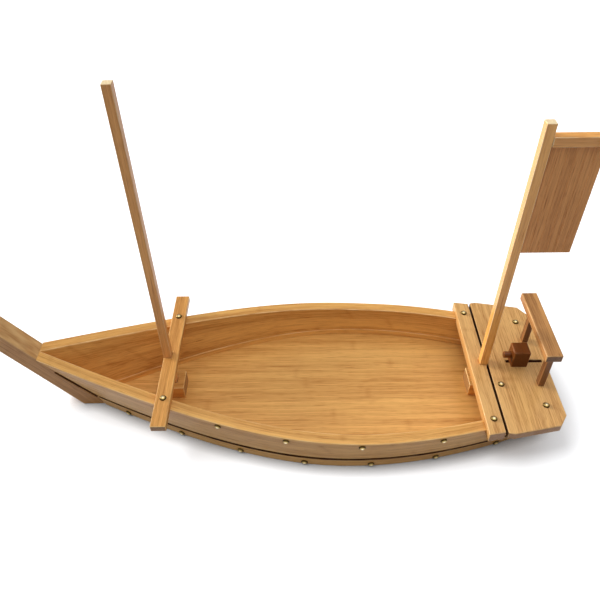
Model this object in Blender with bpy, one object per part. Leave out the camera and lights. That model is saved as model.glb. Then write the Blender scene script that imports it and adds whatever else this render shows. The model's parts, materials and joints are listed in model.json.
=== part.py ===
"""Bamboo sushi boat: a planked hull with a lift-out mast, a lift-out flag and a sliding lock for its pole.

Metres, +Z up. The bow points to -X, port is -Y, and the origin lies on the table under the hull.
"""

import math

import bmesh
import bpy
import numpy as np
from mathutils import Matrix, Vector

# Clearances
GAP = 0.0003
PLAY = 0.0005

# Hull, measured on its outer face
BOW_REACH = 0.457
STERN_REACH = 0.420
BOW_HEIGHT = 0.124
HULL_DEPTH = 0.075
SHEER_LOW_X = 0.129
SHEER_POWER = 1.37
BEAM = 0.334
BEAM_X = 0.0865
BOTTOM_BEAM = 0.3155
STERN_BEAM = 0.213
STERN_BOTTOM_BEAM = 0.175
SIDE_BEND = 0.221
STATIONS = 40

# Planks of the hull
STRAKE_THICKNESS = 0.020
STRAKE_STEP = 0.0005
STRAKE_PROUD = 0.0025
SEAM_HEIGHT = 0.027
SEAM_GROOVE_HEIGHT = 0.005
SEAM_GROOVE_DEPTH = 0.0065
BOTTOM_THICKNESS = 0.016
BOTTOM_NOSE = 0.004
TRANSOM_THICKNESS = 0.012

# Stem
STEM_WIDTH = 0.038
STEM_THICKNESS = 0.033
STEM_RAKE = math.radians(53)
STEM_LENGTH = 0.285
STEM_KNEE = 0.011

# Thwart and mast
THWART_X = -0.2285
THWART_WIDTH = 0.025
THWART_LENGTH = 0.306
THWART_THICKNESS = 0.012
MAST_SIZE = 0.0135
MAST_TOP = 0.604

# Sockets on the bottom board
STEP_SIZE = 0.042
STEP_HEIGHT = 0.028

# Stern plank and deck
DECK_LENGTH = 0.104
DECK_OVERHANG = 0.0156
DECK_RISE = 0.009
DECK_THICKNESS = 0.0145
DECK_FRONT_WIDTH = 0.310
DECK_AFT_WIDTH = 0.274
DECK_FRONT_CUT_X = 0.011
DECK_FRONT_CUT_Y = 0.002
DECK_AFT_CUT_X = 0.0145
DECK_AFT_CUT_Y = 0.018
DECK_GAP = 0.0036
PLANK_WIDTH = 0.0275
PLANK_OVERHANG = 0.001
PLANK_TAPER = 0.0045
PLANK_THICKNESS = 0.019
BEARER_WIDTH = 0.018
BEARER_HEIGHT = 0.015
BEARER_SETBACK = 0.003

# Flag
POLE_SIZE = 0.014
POLE_TOP = 0.5455
BATTEN_DROP = 0.019
BATTEN_HEIGHT = 0.0145
BATTEN_THICKNESS = 0.0155
FLAG_LENGTH = 0.076
FLAG_HEIGHT = 0.180
FLAG_THICKNESS = 0.0045
FLAG_GROOVE = 0.005

# Gate over the stern deck
GATE_SETBACK = 0.0311
GATE_HEIGHT = 0.096
GATE_RAIL_LENGTH = 0.152
GATE_RAIL_WIDTH = 0.027
GATE_RAIL_THICKNESS = 0.014
GATE_SPAN = 0.1155
GATE_LEG_DEPTH = 0.0105
GATE_LEG_WIDTH = 0.0125
GATE_LEG_SETBACK = 0.002

# Sliding lock
LOCK_SETBACK = 0.0527
LOCK_LENGTH = 0.0285
LOCK_WIDTH = 0.0275
LOCK_HEIGHT = 0.035
PEG_DIAMETER = 0.0115
PEG_REACH = 0.0135
PEG_ROOT = 0.010
PEG_HEIGHT = 0.018
KEY_LENGTH = 0.006
KEY_WEB = 0.0035
KEY_FOOT_WIDTH = 0.016
KEY_FOOT_HEIGHT = 0.004
KEY_TENON = 0.008
KEY_WALL = 0.002
SLOT_MARGIN = 0.0075

# Dome-headed nails
NAIL_HEAD = 0.0115
NAIL_RISE = 0.0035
NAIL_SHANK = 0.0025
NAIL_BITE = 0.008
NAIL_SIDES = 16
LOWER_NAILS = 7
LOWER_NAIL_BOW_INSET = 0.0506
LOWER_NAIL_STERN_INSET = 0.0855
LOWER_NAIL_Z = 0.007
STERN_NAIL_INSET = 0.039
UPPER_NAILS = 4
UPPER_NAIL_X = -0.146
UPPER_NAIL_PITCH = 0.112
UPPER_NAIL_SPREAD = 0.012
UPPER_NAIL_DROP = 0.0095
DECK_NAIL_SPAN = 0.105
DECK_NAIL_INSET = 0.028

# Places that follow from the sizes
THWART_BOW_X = THWART_X - THWART_WIDTH / 2
THWART_AFT_X = THWART_X + THWART_WIDTH / 2
MAST_X = THWART_BOW_X + MAST_SIZE / 2
DECK_AFT = STERN_REACH + DECK_OVERHANG
DECK_FRONT = DECK_AFT - DECK_LENGTH
DECK_TOP = HULL_DEPTH + DECK_RISE
DECK_UNDER = DECK_TOP - DECK_THICKNESS
PLANK_AFT = DECK_FRONT - DECK_GAP
PLANK_FRONT = PLANK_AFT - PLANK_WIDTH
PLANK_UNDER = DECK_TOP - PLANK_THICKNESS
PLANK_LENGTH = DECK_FRONT_WIDTH + 2 * PLANK_OVERHANG
POLE_X = DECK_FRONT - PLAY - POLE_SIZE / 2
BEARER_FRONT = DECK_FRONT + BEARER_SETBACK
FLOOR = BOTTOM_THICKNESS + GAP
GATE_X = DECK_AFT - GATE_SETBACK
LOCK_X = DECK_FRONT + LOCK_SETBACK
KEY_AFT = LOCK_LENGTH / 2 - KEY_WALL
KEY_FRONT = KEY_AFT - KEY_LENGTH
PEG_TIP = -LOCK_LENGTH / 2 - PEG_REACH
LOCK_FORWARD = LOCK_X + PEG_TIP - (POLE_X + POLE_SIZE / 2) - PLAY
SLOT_FRONT = LOCK_X + KEY_FRONT - LOCK_FORWARD - PLAY
SLOT_AFT = DECK_AFT - SLOT_MARGIN
CUT_OVER = 0.2
SIDES = {"port": -1, "starboard": 1}


def finish(name, colour, roughness, metallic=0.0):
    """One plain material with the colour that the piece shows in daylight."""
    material = bpy.data.materials.new(name)
    material.use_nodes = True
    shader = material.node_tree.nodes["Principled BSDF"]
    shader.inputs["Base Color"].default_value = (*colour, 1.0)
    shader.inputs["Roughness"].default_value = roughness
    shader.inputs["Metallic"].default_value = metallic
    return material


def place(name, bm, material, at=(0, 0, 0), parent=None):
    """Turn a finished bmesh into the named piece, with its origin at the given point."""
    bmesh.ops.recalc_face_normals(bm, faces=bm.faces)
    mesh = bpy.data.meshes.new(name)
    bm.to_mesh(mesh)
    bm.free()
    mesh.materials.append(material)
    piece = bpy.data.objects.new(name, mesh)
    piece.location = at
    piece.parent = parent
    bpy.context.scene.collection.objects.link(piece)
    return piece


def cut(piece, name, bm):
    """Take the shape in bm out of a piece."""
    cutter = place(name, bm, piece.data.materials[0], piece.location, piece.parent)
    cutter.hide_render = True
    cutter.display_type = 'WIRE'
    modifier = piece.modifiers.new(name, 'BOOLEAN')
    modifier.operation = 'DIFFERENCE'
    modifier.object = cutter


def add_block(bm, low, high):
    """Add a box between two opposite corners."""
    size = [b - a for a, b in zip(low, high)]
    centre = [(a + b) / 2 for a, b in zip(low, high)]
    bmesh.ops.create_cube(bm, size=1, matrix=Matrix.Translation(centre) @ Matrix.Diagonal((*size, 1)))
    return bm


def block(low, high):
    """A box between two opposite corners."""
    return add_block(bmesh.new(), low, high)


def add_extrusion(bm, outline, travel):
    """Add the solid that a flat outline sweeps along the vector travel."""
    face = bm.faces.new([bm.verts.new(point) for point in outline])
    swept = bmesh.ops.extrude_face_region(bm, geom=[face])
    moved = [item for item in swept["geom"] if isinstance(item, bmesh.types.BMVert)]
    bmesh.ops.translate(bm, verts=moved, vec=travel)
    return bm


def lofted(rings):
    """A closed solid through rings of equally many points, flat at both ends."""
    bm = bmesh.new()
    loops = [[bm.verts.new(point) for point in ring] for ring in rings]
    for here, beyond in zip(loops, loops[1:]):
        for i, vert in enumerate(here):
            before = i - 1
            bm.faces.new((here[before], vert, beyond[i], beyond[before]))
    bm.faces.new(loops[0])
    bm.faces.new(reversed(loops[-1]))
    bmesh.ops.triangulate(bm, faces=bm.faces)
    return bm


def add_rod(bm, start, end, diameter):
    """Add a round rod between two points."""
    run = Vector(end) - Vector(start)
    turn = run.to_track_quat('Z', 'Y').to_matrix().to_4x4()
    middle = Matrix.Translation((Vector(start) + Vector(end)) / 2)
    bmesh.ops.create_cone(bm, cap_ends=True, segments=NAIL_SIDES, radius1=diameter / 2,
                          radius2=diameter / 2, depth=run.length, matrix=middle @ turn)
    return bm


def sheer(x):
    """Height of the gunwale's top edge at station x."""
    rise = max(0.0, (SHEER_LOW_X - x) / (SHEER_LOW_X + BOW_REACH))
    return HULL_DEPTH + (BOW_HEIGHT - HULL_DEPTH) * rise ** SHEER_POWER


def seam(x):
    """Height of the joint between the two strakes, level all along."""
    return SEAM_HEIGHT


def lower_top(x):
    """Height of the lower strake's top edge, just under the seam."""
    return SEAM_HEIGHT - GAP


def ledge(x):
    """Height of the lower strake's outer edge, under the groove that shows along the seam."""
    return SEAM_HEIGHT - GAP - SEAM_GROOVE_HEIGHT


def table(x):
    """Height of the hull's flat bottom."""
    return 0.0


def stem_line(z):
    """Station where the planks end on the stem at the height z: it swells aft to a knee at the seam."""
    swell = min(z / SEAM_HEIGHT, (BOW_HEIGHT - z) / (BOW_HEIGHT - SEAM_HEIGHT))
    return (BOW_HEIGHT - z) / math.tan(STEM_RAKE) - BOW_REACH + STEM_KNEE * swell


def half_beam(x, z):
    """Half breadth of the hull's outer face, which bends at its widest and is nearly straight at its ends."""
    level = z / HULL_DEPTH
    widest = (BOTTOM_BEAM + (BEAM - BOTTOM_BEAM) * level) / 2
    end_x, end_half = stem_line(z), STEM_WIDTH / 2 + STRAKE_PROUD
    if x > BEAM_X:
        end_x = STERN_REACH
        end_half = (STERN_BOTTOM_BEAM + (STERN_BEAM - STERN_BOTTOM_BEAM) * level) / 2
    spread = ((widest - end_half + SIDE_BEND) ** 2 - SIDE_BEND ** 2) / (end_x - BEAM_X) ** 2
    return widest + SIDE_BEND - math.sqrt(SIDE_BEND ** 2 + spread * (x - BEAM_X) ** 2)


def side_slope(x, z):
    """How fast the hull widens along its length at station x."""
    return (half_beam(x + GAP, z) - half_beam(x - GAP, z)) / (2 * GAP)


def evenly_spaced(first, last, count):
    """Stations from first to last that lie equally far apart along the bent side."""
    stations = np.linspace(first, last, STATIONS + 1)
    lengths = np.cumsum([math.hypot(1, side_slope(x, 0)) for x in stations])
    return np.interp(np.linspace(lengths[0], lengths[-1], count), lengths, stations)


def inset_half(x, z, depth):
    """Half breadth of the face that lies depth inside the outer one."""
    return half_beam(x, z) - depth * math.hypot(1, side_slope(x, z))


def gunwale_middle(x, z):
    """Distance from the centreline to the middle of the upper strake's thickness."""
    return inset_half(x, z, STRAKE_THICKNESS / 2)


def inside_half(x, z):
    """Half breadth that is free between the strakes."""
    return inset_half(x, z, STRAKE_THICKNESS) - GAP


def edge_point(height, depth, u):
    """Point on a strake's edge, a share u of the way from the stem to the stern."""
    start = stem_line(height(-BOW_REACH)) + GAP / math.sin(STEM_RAKE)
    x = start + (STERN_REACH - start) * u
    z = height(x)
    return Vector((x, max(inset_half(x, z, depth), GAP / 2), z))


def face_point(low, high, depth, u, v):
    """Point on a strake's outer face, a share v of the way from its low edge to its high one."""
    return edge_point(low, depth, u).lerp(edge_point(high, depth, u), v)


def face_normal(low, high, depth, u, v):
    """Direction square to a strake's outer face."""
    small = 0.001
    along = face_point(low, high, depth, u + small, v) - face_point(low, high, depth, u - small, v)
    up = face_point(low, high, depth, u, 1) - face_point(low, high, depth, u, 0)
    return up.cross(along).normalized()


def mirrored(point, side):
    """The same point on the given side of the boat."""
    return Vector((point[0], side * point[1], point[2]))


def strake(name, side, edges, material):
    """A bent plank from the stem to the stern through its long edges, each a height and a depth."""
    rings = []
    for i in range(STATIONS + 1):
        u = i / STATIONS
        rings.append([mirrored(edge_point(height, depth, u), side) for height, depth in edges])
    return place(name, lofted(rings), material)


def seats():
    """The room that the thwart, the stern plank and the deck take out of the gunwales."""
    bm = block((THWART_BOW_X - GAP, -CUT_OVER, thwart_under() - GAP),
               (THWART_AFT_X + GAP, CUT_OVER, CUT_OVER))
    steps = [(PLANK_FRONT - GAP, CUT_OVER), (PLANK_FRONT - GAP, PLANK_UNDER - GAP),
             (PLANK_AFT + GAP, PLANK_UNDER - GAP), (PLANK_AFT + GAP, DECK_UNDER - GAP),
             (STERN_REACH + CUT_OVER, DECK_UNDER - GAP), (STERN_REACH + CUT_OVER, CUT_OVER)]
    return add_extrusion(bm, [(x, -CUT_OVER, z) for x, z in steps], (0, 2 * CUT_OVER, 0))


def thwart_under():
    """Height of the thwart's underside, level with the lowest gunwale under it."""
    return sheer(THWART_AFT_X) + GAP


def bottom_board(material):
    """The flat bottom, let in between the lower strakes."""
    nose = stem_line(0)
    while inside_half(nose, 0) < BOTTOM_NOSE / 2:
        nose += PLAY
    rings = []
    for i in range(STATIONS + 1):
        x = nose + (STERN_REACH - nose) * i / STATIONS
        low = inside_half(x, 0)
        high = inside_half(x, BOTTOM_THICKNESS)
        rings.append([(x, -low, 0), (x, low, 0), (x, high, BOTTOM_THICKNESS), (x, -high, BOTTOM_THICKNESS)])
    return place("bottom_board", lofted(rings), material)


def cross_piece(name, front, aft, levels, material):
    """A piece that fills the hull from side to side between two stations, through the given heights."""
    rings = []
    for x in (front, aft):
        starboard = [(x, inside_half(x, z), z) for z in levels]
        rings.append(starboard + [(x, -y, z) for x, y, z in reversed(starboard)])
    return place(name, lofted(rings), material)


def stem(material):
    """The raked beam under the bow, cut flat where it stands on the table, with a knee behind it."""
    rise = Vector((-math.cos(STEM_RAKE), 0, math.sin(STEM_RAKE)))
    under = Vector((-math.sin(STEM_RAKE), 0, -math.cos(STEM_RAKE))) * STEM_THICKNESS
    heel = Vector((stem_line(0), -STEM_WIDTH / 2, 0))
    toe = heel - Vector((STEM_THICKNESS / math.sin(STEM_RAKE), 0, 0))
    tip = heel + rise * STEM_LENGTH
    knee, bow = [Vector((stem_line(z), -STEM_WIDTH / 2, z)) for z in (SEAM_HEIGHT, BOW_HEIGHT)]
    bm = add_extrusion(bmesh.new(), [heel, knee, bow, tip, tip + under, toe], (0, STEM_WIDTH, 0))
    return place("stem", bm, material)


def thwart(material):
    """The beam across the gunwales, notched in its bow edge for the mast."""
    half = THWART_LENGTH / 2
    notch_half = MAST_SIZE / 2 + PLAY
    notch_x = MAST_X + MAST_SIZE / 2 + PLAY
    outline = [(THWART_BOW_X, -half), (THWART_AFT_X, -half), (THWART_AFT_X, half), (THWART_BOW_X, half),
               (THWART_BOW_X, notch_half), (notch_x, notch_half),
               (notch_x, -notch_half), (THWART_BOW_X, -notch_half)]
    bm = add_extrusion(bmesh.new(), [(x, y, thwart_under()) for x, y in outline], (0, 0, THWART_THICKNESS))
    return place("thwart", bm, material)


def stern_plank(material):
    """The plank across the stern, notched in its aft edge for the flagpole."""
    front_half = PLANK_LENGTH / 2
    aft_half = front_half - PLANK_TAPER
    notch_half = POLE_SIZE / 2 + PLAY
    notch_x = POLE_X - POLE_SIZE / 2 - PLAY
    starboard = [(PLANK_AFT, notch_half), (PLANK_AFT, aft_half), (PLANK_FRONT, front_half)]
    outline = [(notch_x, notch_half)] + starboard
    outline += [(x, -y) for x, y in reversed(outline)]
    bm = add_extrusion(bmesh.new(), [(x, y, PLANK_UNDER) for x, y in outline], (0, 0, PLANK_THICKNESS))
    return place("stern_plank", bm, material)


def stern_deck(material):
    """The deck panel, with its corners cut and a slot on the centreline for the lock's key."""
    shoulder = DECK_FRONT + DECK_FRONT_CUT_X
    narrowing = (DECK_FRONT_WIDTH - DECK_AFT_WIDTH) / 2 / (DECK_AFT - shoulder)
    starboard = [(DECK_FRONT, DECK_FRONT_WIDTH / 2 - DECK_FRONT_CUT_Y), (shoulder, DECK_FRONT_WIDTH / 2),
                 (DECK_AFT - DECK_AFT_CUT_X, DECK_AFT_WIDTH / 2 + narrowing * DECK_AFT_CUT_X),
                 (DECK_AFT, DECK_AFT_WIDTH / 2 - DECK_AFT_CUT_Y)]
    outline = starboard + [(x, -y) for x, y in reversed(starboard)]
    bm = add_extrusion(bmesh.new(), [(x, y, DECK_UNDER) for x, y in outline], (0, 0, DECK_THICKNESS))
    deck = place("stern_deck", bm, material)
    slot_half = KEY_WEB / 2 + PLAY
    cut(deck, "deck_slot", block((SLOT_FRONT, -slot_half, 0), (SLOT_AFT, slot_half, CUT_OVER)))
    return deck


def mast_step(name, x, size, material):
    """A block on the bottom board with a square socket for the foot of a pole."""
    half = STEP_SIZE / 2
    socket = size / 2 + PLAY
    step = place(name, block((x - half, -half, FLOOR), (x + half, half, FLOOR + STEP_HEIGHT)), material)
    cut(step, name + "_socket", block((x - socket, -socket, 0), (x + socket, socket, CUT_OVER)))
    return step


def square_pole(name, size, top, material, at, parent=None):
    """A square pole that stands on the bottom board."""
    half = size / 2
    return place(name, block((-half, -half, FLOOR), (half, half, top)), material, at, parent)


def flag(pole_material, board_material):
    """The pole with its batten and hanging board, which lift out together."""
    axis = bpy.data.objects.new("flag_axis", None)
    axis.location = (POLE_X, 0, 0)
    bpy.context.scene.collection.objects.link(axis)
    square_pole("flagpole", POLE_SIZE, POLE_TOP, pole_material, (0, 0, 0), axis)
    start = POLE_SIZE / 2 + GAP
    top = POLE_TOP - BATTEN_DROP
    under = top - BATTEN_HEIGHT
    half = BATTEN_THICKNESS / 2
    groove = FLAG_THICKNESS / 2 + GAP
    groove_top = under + FLAG_GROOVE
    profile = [(-half, under), (-half, top), (half, top), (half, under),
               (groove, under), (groove, groove_top), (-groove, groove_top), (-groove, under)]
    bm = add_extrusion(bmesh.new(), [(start, y, z) for y, z in profile], (FLAG_LENGTH, 0, 0))
    place("flag_batten", bm, pole_material, parent=axis)
    board = block((start, -FLAG_THICKNESS / 2, under - FLAG_HEIGHT),
                  (start + FLAG_LENGTH, FLAG_THICKNESS / 2, under + FLAG_GROOVE - GAP))
    place("flag_board", board, board_material, parent=axis)


def gate(material):
    """The rail on two legs across the stern deck."""
    top = DECK_TOP + GATE_HEIGHT
    under = top - GATE_RAIL_THICKNESS
    half = GATE_RAIL_WIDTH / 2
    place("gate_rail", block((GATE_X - half, -GATE_RAIL_LENGTH / 2, under),
                             (GATE_X + half, GATE_RAIL_LENGTH / 2, top)), material)
    leg_aft = GATE_X + half - GATE_LEG_SETBACK
    for word, side in SIDES.items():
        inner, outer = sorted((side * (GATE_SPAN / 2 - GATE_LEG_WIDTH), side * GATE_SPAN / 2))
        place("gate_leg_" + word, block((leg_aft - GATE_LEG_DEPTH, inner, DECK_TOP + GAP),
                                        (leg_aft, outer, under - GAP)), material)


def lock(material, key_material):
    """The block that slides along the deck slot until its peg bears on the flagpole."""
    axis = bpy.data.objects.new("lock_axis", None)
    axis.location = (LOCK_X, 0, DECK_TOP)
    bpy.context.scene.collection.objects.link(axis)
    half = LOCK_LENGTH / 2
    body = place("lock_block", block((-half, -LOCK_WIDTH / 2, GAP), (half, LOCK_WIDTH / 2, LOCK_HEIGHT)),
                 material, parent=axis)
    peg_end = PEG_ROOT - half
    sockets = add_rod(bmesh.new(), (PEG_TIP, 0, PEG_HEIGHT), (peg_end + GAP, 0, PEG_HEIGHT),
                      PEG_DIAMETER + 2 * GAP)
    web = KEY_WEB / 2
    add_block(sockets, (KEY_FRONT - GAP, -web - GAP, -KEY_TENON),
              (KEY_AFT + GAP, web + GAP, KEY_TENON + GAP))
    cut(body, "lock_sockets", sockets)
    peg = add_rod(bmesh.new(), (PEG_TIP, 0, PEG_HEIGHT), (peg_end, 0, PEG_HEIGHT), PEG_DIAMETER)
    place("lock_peg", peg, material, parent=axis)
    under = -DECK_THICKNESS - PLAY
    foot = KEY_FOOT_WIDTH / 2
    starboard = [(web, KEY_TENON), (web, under), (foot, under), (foot, under - KEY_FOOT_HEIGHT)]
    profile = starboard + [(-y, z) for y, z in reversed(starboard)]
    key = add_extrusion(bmesh.new(), [(KEY_FRONT, y, z) for y, z in profile], (KEY_LENGTH, 0, 0))
    place("lock_key", key, key_material, parent=axis)


def key_path():
    """The room that the key's foot needs through the top of the transom."""
    half = KEY_FOOT_WIDTH / 2 + PLAY
    low = DECK_UNDER - PLAY - KEY_FOOT_HEIGHT - PLAY
    return block((STERN_REACH - CUT_OVER, -half, low), (STERN_REACH + CUT_OVER, half, CUT_OVER))


def nail(name, seat, outward, length, material, drilled, holes):
    """A dome-headed nail on a seat point, and the hole for it in each piece that it holds."""
    head = NAIL_HEAD / 2
    shank = NAIL_SHANK / 2
    arc = [(math.sin(a) * head, GAP + math.cos(a) * NAIL_RISE)
           for a in (math.radians(step * 22.5) for step in range(5))]
    profile = arc + [(shank, GAP), (shank, -length), (0, -length - NAIL_SHANK)]
    bm = bmesh.new()
    verts = [bm.verts.new((r, 0, z)) for r, z in profile]
    edges = [bm.edges.new(pair) for pair in zip(verts, verts[1:])]
    bmesh.ops.spin(bm, geom=verts + edges, cent=(0, 0, 0), axis=(0, 0, 1), angle=math.tau,
                   steps=NAIL_SIDES, use_merge=True)
    bmesh.ops.remove_doubles(bm, verts=bm.verts, dist=GAP / 10)
    turn = outward.to_track_quat('Z', 'Y').to_matrix().to_4x4()
    bmesh.ops.transform(bm, matrix=Matrix.Translation(seat) @ turn, verts=bm.verts)
    piece = place(name, bm, material)
    piece.data.shade_smooth()
    piece.data.set_sharp_from_angle(angle=math.radians(40))
    for plank in drilled:
        depth = length + NAIL_SHANK + GAP
        holes.setdefault(plank, []).append((seat + outward * NAIL_RISE, seat - outward * depth))


def strake_nails(word, side, material, holes):
    """The row through the lower strake into the bottom board, and the row along the gunwale."""
    start = stem_line(0)
    row = evenly_spaced(start + LOWER_NAIL_BOW_INSET, STERN_REACH - LOWER_NAIL_STERN_INSET, LOWER_NAILS)
    for i, x in enumerate([*row, STERN_REACH - STERN_NAIL_INSET]):
        u = (x - start) / (STERN_REACH - start)
        spot = (table, ledge, STRAKE_STEP, u, LOWER_NAIL_Z / ledge(x))
        nail(f"lower_nail_{word}_{i + 1}", mirrored(face_point(*spot), side),
             mirrored(face_normal(*spot), side), STRAKE_THICKNESS - STRAKE_STEP + NAIL_BITE,
             material, ["lower_strake_" + word, "bottom_board"], holes)
    for i in range(UPPER_NAILS):
        x = UPPER_NAIL_X + i * UPPER_NAIL_PITCH + i * (i - 1) / 2 * UPPER_NAIL_SPREAD
        u = (x + BOW_REACH) / (STERN_REACH + BOW_REACH)
        spot = (seam, sheer, 0, u, 1 - UPPER_NAIL_DROP / (sheer(x) - SEAM_HEIGHT))
        nail(f"upper_nail_{word}_{i + 1}", mirrored(face_point(*spot), side),
             mirrored(face_normal(*spot), side), NAIL_BITE, material, ["upper_strake_" + word], holes)


def top_nails(word, side, material, holes):
    """The nails that hold the thwart, the stern plank and the deck down."""
    gunwale = "upper_strake_" + word
    bearer_middle = BEARER_FRONT + BEARER_WIDTH / 2
    plank_middle = (PLANK_FRONT + PLANK_AFT) / 2
    deck_aft = DECK_AFT - DECK_NAIL_INSET
    thwart_top = thwart_under() + THWART_THICKNESS
    thwart_half = gunwale_middle(THWART_X, thwart_under())
    plank_half = gunwale_middle(plank_middle, PLANK_UNDER)
    deck_half = gunwale_middle(deck_aft, DECK_UNDER)
    rows = (
        ("thwart_nail_", THWART_X, thwart_half, thwart_top, "thwart", gunwale),
        ("plank_nail_", plank_middle, plank_half, DECK_TOP, "stern_plank", gunwale),
        ("deck_nail_front_", bearer_middle, DECK_NAIL_SPAN / 2, DECK_TOP, "stern_deck", "deck_bearer"),
        ("deck_nail_aft_", deck_aft, deck_half, DECK_TOP, "stern_deck", gunwale),
    )
    thickness = {"thwart": THWART_THICKNESS, "stern_plank": PLANK_THICKNESS, "stern_deck": DECK_THICKNESS}
    for name, x, y, z, board, under in rows:
        nail(name + word, Vector((x, side * y, z)), Vector((0, 0, 1)), thickness[board] + NAIL_BITE,
             material, [board, under], holes)


def drill(holes):
    """Cut the nail holes, all those of one piece together."""
    for plank, runs in holes.items():
        bm = bmesh.new()
        for start, end in runs:
            add_rod(bm, start, end, NAIL_SHANK + 2 * GAP)
        cut(bpy.data.objects[plank], plank + "_nail_holes", bm)


def main():
    """Build the whole boat."""
    for item in list(bpy.data.objects):
        bpy.data.objects.remove(item)
    hull = finish("hull_bamboo", (0.50, 0.29, 0.11), 0.45)
    cross = finish("cross_bamboo", (0.48, 0.26, 0.09), 0.45)
    deck = finish("deck_bamboo", (0.52, 0.31, 0.13), 0.45)
    spar = finish("spar_bamboo", (0.45, 0.25, 0.10), 0.45)
    strips = finish("flag_bamboo", (0.32, 0.17, 0.07), 0.5)
    stained = finish("stained_bamboo", (0.10, 0.035, 0.008), 0.5)
    brass = finish("brass", (0.72, 0.55, 0.26), 0.25, 1.0)

    stem(hull)
    bottom_board(hull)
    groove = STRAKE_STEP + SEAM_GROOVE_DEPTH
    lower_edges = ((table, STRAKE_STEP), (ledge, STRAKE_STEP), (ledge, groove), (lower_top, groove),
                   (lower_top, STRAKE_THICKNESS), (table, STRAKE_THICKNESS))
    upper_edges = ((seam, 0), (sheer, 0), (sheer, STRAKE_THICKNESS), (seam, STRAKE_THICKNESS))
    for word, side in SIDES.items():
        strake("lower_strake_" + word, side, lower_edges, hull)
        upper = strake("upper_strake_" + word, side, upper_edges, hull)
        cut(upper, f"upper_strake_{word}_seats", seats())
    transom_levels = (FLOOR, SEAM_HEIGHT, DECK_UNDER - GAP)
    transom = cross_piece("transom", STERN_REACH - TRANSOM_THICKNESS, STERN_REACH, transom_levels, hull)
    cut(transom, "key_path", key_path())
    bearer_levels = (DECK_UNDER - GAP - BEARER_HEIGHT, DECK_UNDER - GAP)
    cross_piece("deck_bearer", BEARER_FRONT, BEARER_FRONT + BEARER_WIDTH, bearer_levels, hull)

    thwart(cross)
    mast_step("mast_step", MAST_X, MAST_SIZE, hull)
    square_pole("mast", MAST_SIZE, MAST_TOP, spar, (MAST_X, 0, 0))

    stern_plank(cross)
    stern_deck(deck)
    mast_step("flagpole_step", POLE_X, POLE_SIZE, hull)
    flag(spar, strips)
    gate(cross)
    lock(stained, stained)

    holes = {}
    for word, side in SIDES.items():
        strake_nails(word, side, brass, holes)
        top_nails(word, side, brass, holes)
    drill(holes)


main()
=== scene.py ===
# %% [markdown]
# # A bamboo serving boat
# A serving boat is a flat-bottomed hull of bent planks with a deck over the stern, a mast, a small
# flag on a pole and rows of brass nails. The CAD model already has every solid in its place, so it
# is loaded as a fixed frame. In this lesson each solid gets a piece to show in its stead, with the
# eased edges, the grain and the polish that make bamboo look like bamboo. The box of the CAD model
# is kept.

# %% Load the imported model
import json
import math

import bmesh
import bpy
import numpy as np
from mathutils import Matrix, Vector

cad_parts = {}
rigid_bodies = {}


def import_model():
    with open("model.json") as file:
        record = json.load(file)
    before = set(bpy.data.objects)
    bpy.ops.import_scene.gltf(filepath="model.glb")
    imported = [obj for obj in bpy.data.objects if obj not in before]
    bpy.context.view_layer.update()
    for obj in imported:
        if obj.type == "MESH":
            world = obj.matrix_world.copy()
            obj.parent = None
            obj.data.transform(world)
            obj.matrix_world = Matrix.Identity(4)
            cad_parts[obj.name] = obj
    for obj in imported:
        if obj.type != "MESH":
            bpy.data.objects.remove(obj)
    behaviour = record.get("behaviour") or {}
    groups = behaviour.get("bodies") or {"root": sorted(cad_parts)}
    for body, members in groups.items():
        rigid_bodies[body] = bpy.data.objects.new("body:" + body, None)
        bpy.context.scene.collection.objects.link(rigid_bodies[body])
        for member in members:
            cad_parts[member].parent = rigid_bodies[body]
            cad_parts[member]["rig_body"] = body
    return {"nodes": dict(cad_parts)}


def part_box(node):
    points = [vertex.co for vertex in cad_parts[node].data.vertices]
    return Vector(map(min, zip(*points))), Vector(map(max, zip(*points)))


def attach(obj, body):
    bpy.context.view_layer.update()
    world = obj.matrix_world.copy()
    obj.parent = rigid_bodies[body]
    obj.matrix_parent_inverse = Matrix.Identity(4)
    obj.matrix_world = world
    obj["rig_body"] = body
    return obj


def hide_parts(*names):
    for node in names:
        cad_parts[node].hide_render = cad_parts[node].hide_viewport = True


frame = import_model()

scene = bpy.context.scene
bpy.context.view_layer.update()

# %% [markdown]
# ## The camera
# The photograph looks down on the boat's port side from a little above it. A camera could be aimed
# with a Track To constraint, but three plain turns are easier to read and to measure: tilt up from
# straight down, turn about the upright axis, and roll about its own line of sight. The lens is
# short, so the bow and the stern spread outwards.

# %% Place the camera
camera_data = bpy.data.cameras.new("camera")
camera_data.sensor_width = 36
camera_data.lens = 37.34
camera_data.clip_start = 0.01
camera = bpy.data.objects.new("camera", camera_data)
scene.collection.objects.link(camera)
stand = Matrix.Translation((0, -0.740, 0.9216))
turn = Matrix.Rotation(math.radians(0.105), 4, 'Z')
tilt = Matrix.Rotation(math.radians(47.289), 4, 'X')
roll = Matrix.Rotation(math.radians(-0.702), 4, 'Z')
camera.matrix_world = stand @ turn @ tilt @ roll
scene.camera = camera
scene.view_settings.view_transform = 'Standard'
print("camera at", [round(c, 3) for c in stand.translation], "lens", camera_data.lens, "mm")

# %% [markdown]
# ## Helpers for nodes
# Every finish below is a small tree of shader nodes. Adding a node, setting its options and linking
# its inputs takes many lines each time, so one helper does all three: a value that is a socket
# becomes a link, and any other value is written into the input. Four more add the nodes that are
# used most. Colours are given as a screen shows them and turned into light by `paint`.

# %% Add nodes
def fill_in(tree, node, inputs):
    """Link or write the inputs of a node."""
    for name, value in inputs.items():
        if isinstance(value, bpy.types.NodeSocket):
            tree.links.new(value, node.inputs[name])
        else:
            node.inputs[name].default_value = value


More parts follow.
